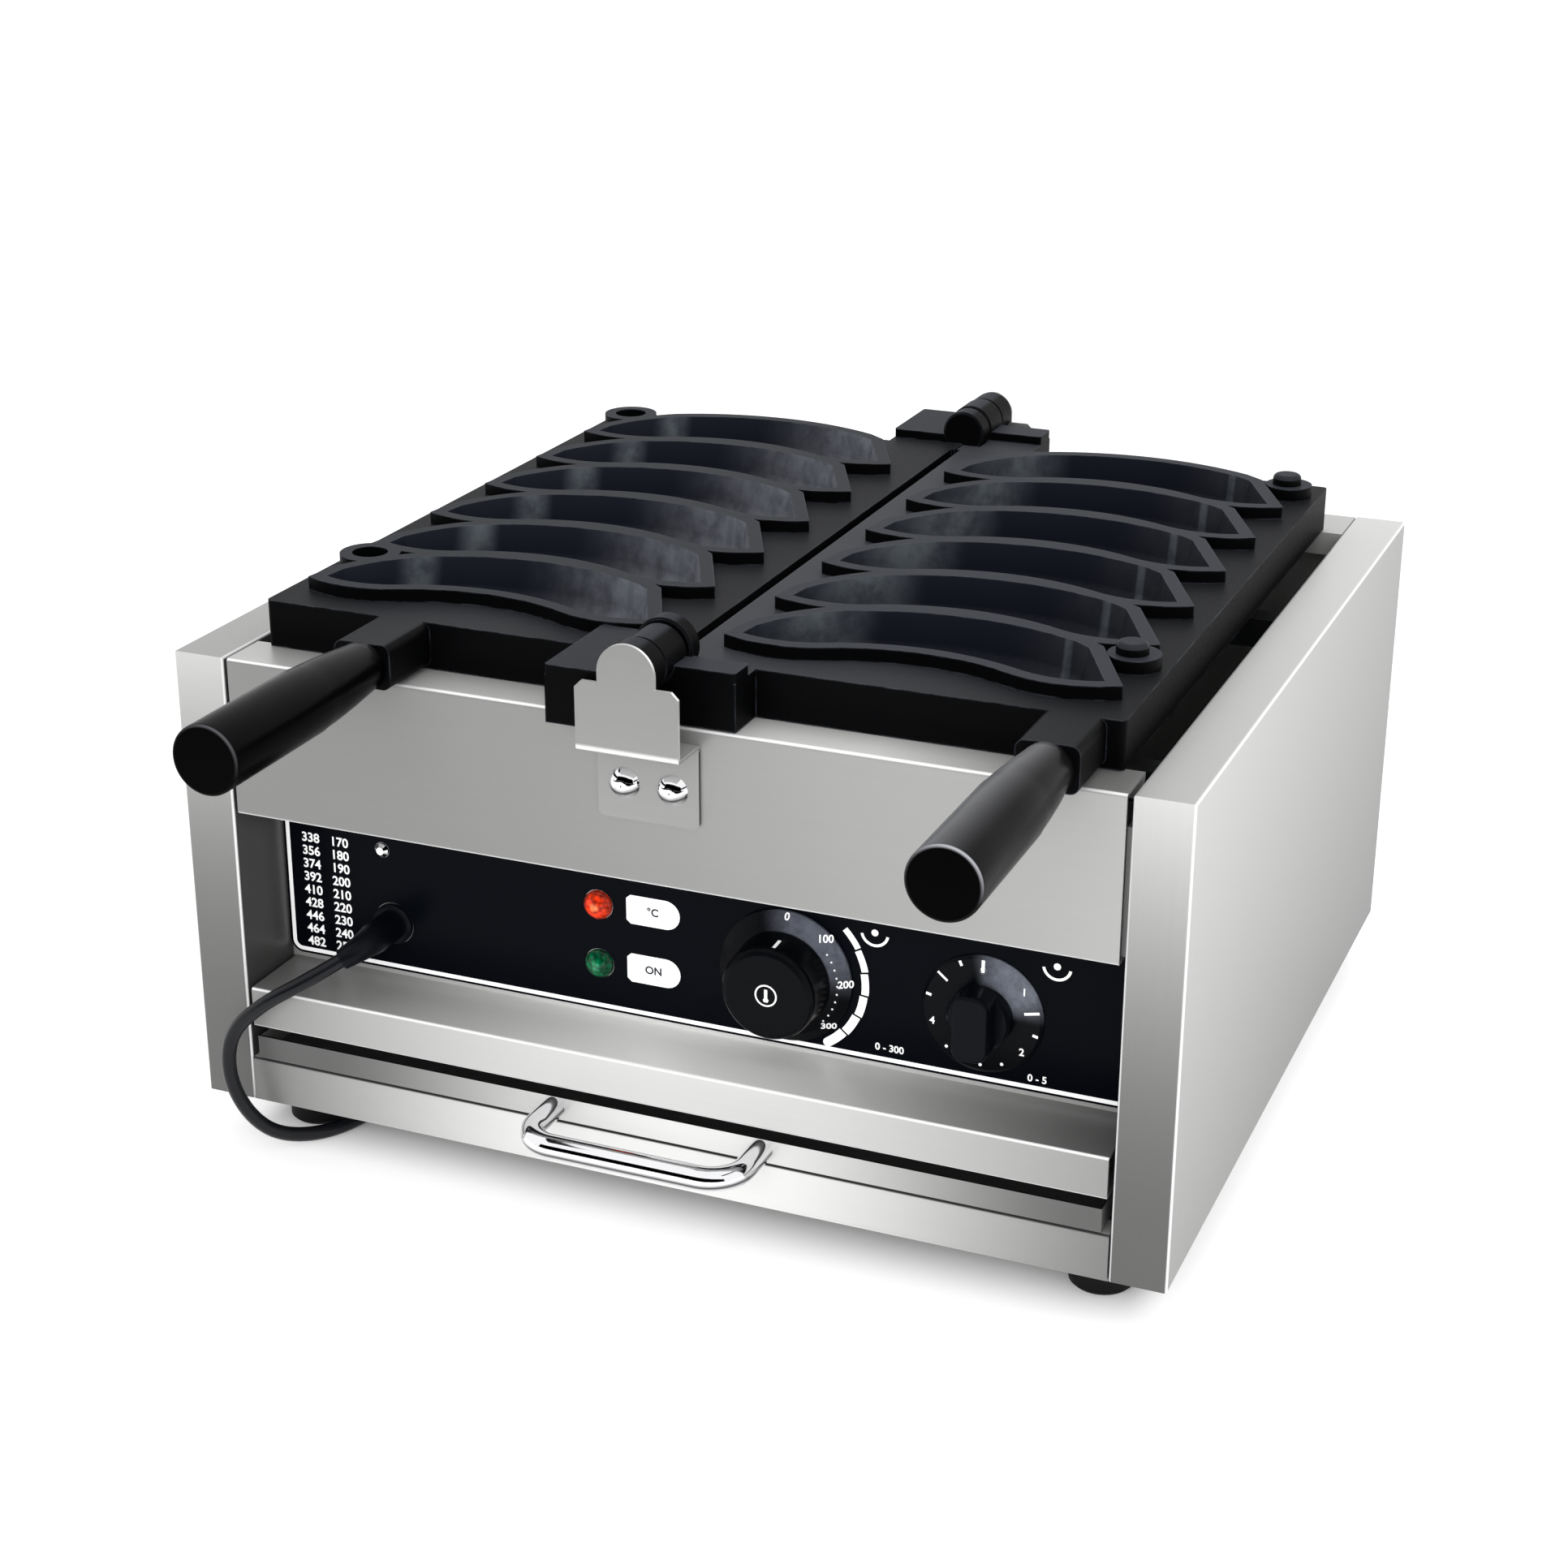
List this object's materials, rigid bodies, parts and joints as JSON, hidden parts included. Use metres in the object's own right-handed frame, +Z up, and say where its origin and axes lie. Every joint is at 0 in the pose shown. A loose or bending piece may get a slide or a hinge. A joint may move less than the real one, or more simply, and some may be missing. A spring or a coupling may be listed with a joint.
{
  "type": "shaped waffle maker",
  "caption": "Countertop maker of banana-shaped waffles: two hinged mould plates that turn over each other on a steel casing with controls and a crumb tray.",
  "frame": {"origin": "middle of the object's footprint on the table, between handle ends and rear bracket", "axes": "+X to the user's right, +Y from the controls to the back, +Z up"},
  "size_m": [0.45, 0.632, 0.2728],
  "materials": {
    "stainless": "brushed along the sheet",
    "bracket_stainless": "satin",
    "galvanised_sheet": "dull zinc",
    "zinc_steel": "zinc plated",
    "pin_steel": "ground",
    "chrome": "polished",
    "element_sheath": "heat-darkened",
    "coated_casting": "dark non-stick coating, semi-gloss",
    "bakelite": "glossy black",
    "knob_plastic": "satin black",
    "dial_plastic": "satin black",
    "panel_film": "black printed film",
    "foot_rubber": "matt black",
    "boot_rubber": "matt black",
    "cord_sheath": "smooth black sheath",
    "plug_plastic": "moulded black",
    "switch_body": "dark phenolic",
    "ceramic": "unglazed ceramic",
    "brass": "turned",
    "copper_tube": "drawn",
    "red_lens": "faceted red lens",
    "green_lens": "faceted green lens"
  },
  "bodies": {
    "casing": {"base_pan": "stainless", "bracket_bolts": "chrome", "control_overlay": "panel_film", "control_panel": "stainless", "cord_coil": "cord_sheath", "element_bars": "galvanised_sheet", "feet": "foot_rubber", "foot_screws": "zinc_steel", "front_fascia": "stainless", "front_hinge_bracket": "bracket_stainless", "front_hinge_pin": "pin_steel", "green_lamp": "green_lens", "heat_shield": "galvanised_sheet", "lamp_nuts": "zinc_steel", "left_heating_element": "element_sheath", "left_side_panel": "stainless", "mains_plug": "plug_plastic", "panel_screw": "zinc_steel", "power_cord": "cord_sheath", "rear_hinge_bracket": "bracket_stainless", "rear_hinge_pin": "pin_steel", "rear_panel": "stainless", "red_lamp": "red_lens", "right_heating_element": "element_sheath", "right_side_panel": "stainless", "strain_relief": "boot_rubber", "strain_relief_nut": "switch_body", "terminal_block": "ceramic", "thermostat": "switch_body", "thermostat_bulb": "copper_tube", "timer": "switch_body", "timer_dial": "dial_plastic", "tray_runners": "galvanised_sheet"},
    "left_plate": {"left_mould_plate": "coated_casting", "left_handle": "bakelite", "left_handle_stud": "zinc_steel"},
    "right_plate": {"right_mould_plate": "coated_casting", "right_handle": "bakelite", "right_handle_stud": "zinc_steel", "locating_pins": "coated_casting"},
    "tray": {"crumb_tray": "stainless", "tray_handle": "chrome", "tray_handle_screws": "zinc_steel"},
    "temperature_control": {"temperature_knob": "knob_plastic", "temperature_shaft": "brass"},
    "timer_control": {"timer_knob": "knob_plastic", "timer_shaft": "brass"}
  },
  "joints": [
    {"name": "left_plate_hinge", "type": "hinge", "parent": "casing", "child": "left_plate", "pos_m": [0, 0, 0.26015], "axis": [0, 1, 0], "range_deg": [0, 180]},
    {"name": "right_plate_hinge", "type": "hinge", "parent": "casing", "child": "right_plate", "pos_m": [0, 0, 0.26015], "axis": [0, -1, 0], "range_deg": [0, 180]},
    {"name": "tray_slide", "type": "slide", "parent": "casing", "child": "tray", "axis": [0, -1, 0], "range_m": [0, 0.25]},
    {"name": "temperature_turn", "type": "hinge", "parent": "casing", "child": "temperature_control", "pos_m": [0.0445, -0.121, 0.1134], "axis": [0, 1, 0], "range_deg": [0, 270]},
    {"name": "timer_turn", "type": "hinge", "parent": "casing", "child": "timer_control", "pos_m": [0.132, -0.121, 0.1119], "axis": [0, 1, 0], "range_deg": [0, 300]}
  ]
}
